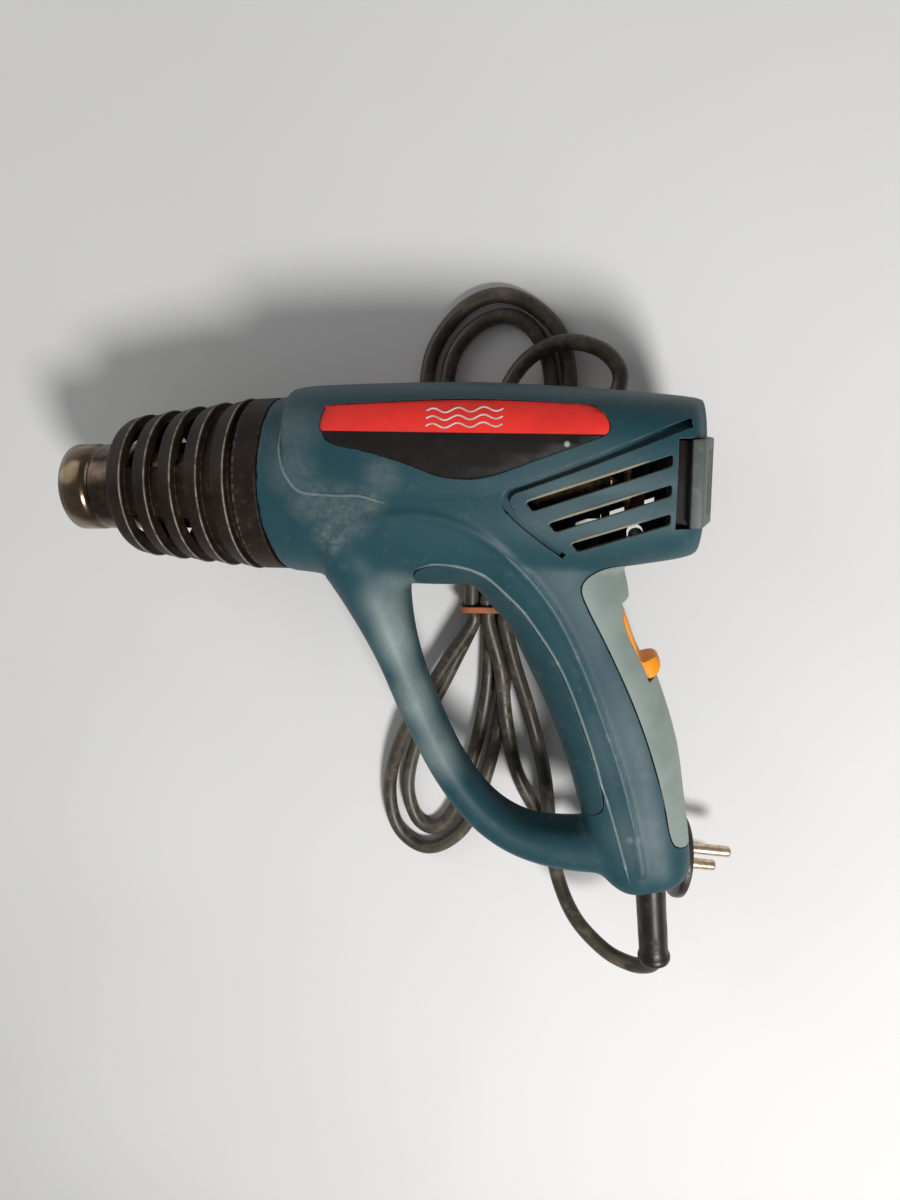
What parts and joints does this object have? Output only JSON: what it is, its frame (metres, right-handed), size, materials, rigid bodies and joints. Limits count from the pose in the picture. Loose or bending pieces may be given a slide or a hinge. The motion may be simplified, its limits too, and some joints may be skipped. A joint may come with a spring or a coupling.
{
  "type": "heat gun",
  "caption": "Corded heat gun with a closed D-shaped handle, ribbed heat guard, sliding thumb switch, fan and heater inside, lying on its tied-up cord.",
  "frame": {"origin": "centre of the flat rear stand face, on the barrel's axis", "axes": "+X to the rear along the barrel, +Y to the top of the gun, +Z out of its left side, which faces up as the gun lies on its right side"},
  "size_m": [0.2717, 0.2885, 0.086],
  "materials": {
    "black_cord": "flexible, satin",
    "black_plastic": "heat-resistant, matt",
    "blue_wire": "wire insulation",
    "bright_steel": "bright",
    "brown_wire": "wire insulation",
    "circuit_board": "laminate",
    "copper": "bare copper and bronze",
    "ferrite": "sintered, matt",
    "grey_green_plastic": "moulded, matt",
    "grey_teal_grip": "moulded, matt",
    "heat_tinted_steel": "heat-tinted, shiny",
    "label_red": "printed film",
    "mica": "layered sheet",
    "nichrome": "drawn wire",
    "nickel_pin": "nickel-plated",
    "orange_plastic": "moulded",
    "rubber_band": "matt",
    "teal_plastic": "moulded, fine texture",
    "white_plastic": "moulded"
  },
  "bodies": {
    "gun": {"air_duct": "black_plastic", "brush_lower": "ferrite", "brush_upper": "ferrite", "bush_front": "copper", "bush_rear": "copper", "clamp_screw_a": "bright_steel", "clamp_screw_b": "bright_steel", "cord_clamp": "black_plastic", "cord_tie": "rubber_band", "diode_1": "black_plastic", "diode_2": "black_plastic", "diode_3": "black_plastic", "diode_4": "black_plastic", "grip_front": "grey_teal_grip", "grip_rear": "grey_teal_grip", "heat_guard": "black_plastic", "heater_coil": "nichrome", "heater_end_disc": "mica", "heater_former": "mica", "heater_lead_a": "white_plastic", "heater_lead_b": "white_plastic", "housing_left": "teal_plastic", "housing_right": "teal_plastic", "label_left": "label_red", "label_right": "label_red", "live_lead": "brown_wire", "magnet_lower": "ferrite", "magnet_upper": "ferrite", "mica_sleeve": "mica", "motor_can": "bright_steel", "motor_carrier": "black_plastic", "motor_end_cap": "black_plastic", "neutral_lead": "blue_wire", "nozzle_tube": "heat_tinted_steel", "plug_body": "black_plastic", "plug_pin_a": "nickel_pin", "plug_pin_b": "nickel_pin", "power_cord": "black_cord", "rear_grille": "grey_green_plastic", "rectifier_board": "circuit_board", "screw_belly": "bright_steel", "screw_grip": "bright_steel", "screw_grip_end": "bright_steel", "screw_heel": "bright_steel", "screw_loop_bottom": "bright_steel", "screw_loop_front": "bright_steel", "screw_top_front": "bright_steel", "screw_top_rear": "bright_steel", "strain_relief": "black_cord", "suppressor_capacitor": "label_red", "switch_body": "black_plastic", "thermal_cutout": "bright_steel"},
    "switch_slide": {"switch_slider": "orange_plastic", "switch_actuator": "white_plastic"},
    "rotor": {"fan_impeller": "white_plastic", "motor_shaft": "bright_steel", "armature": "copper"}
  },
  "joints": [
    {"name": "switch_travel", "type": "slide", "parent": "gun", "child": "switch_slide", "axis": [-0.3862, 0.9224, 0], "range_m": [0, 0.008]},
    {"name": "fan_spin", "type": "hinge", "parent": "gun", "child": "rotor", "pos_m": [-0.086, 0, 0], "axis": [1, 0, 0], "continuous": true}
  ]
}
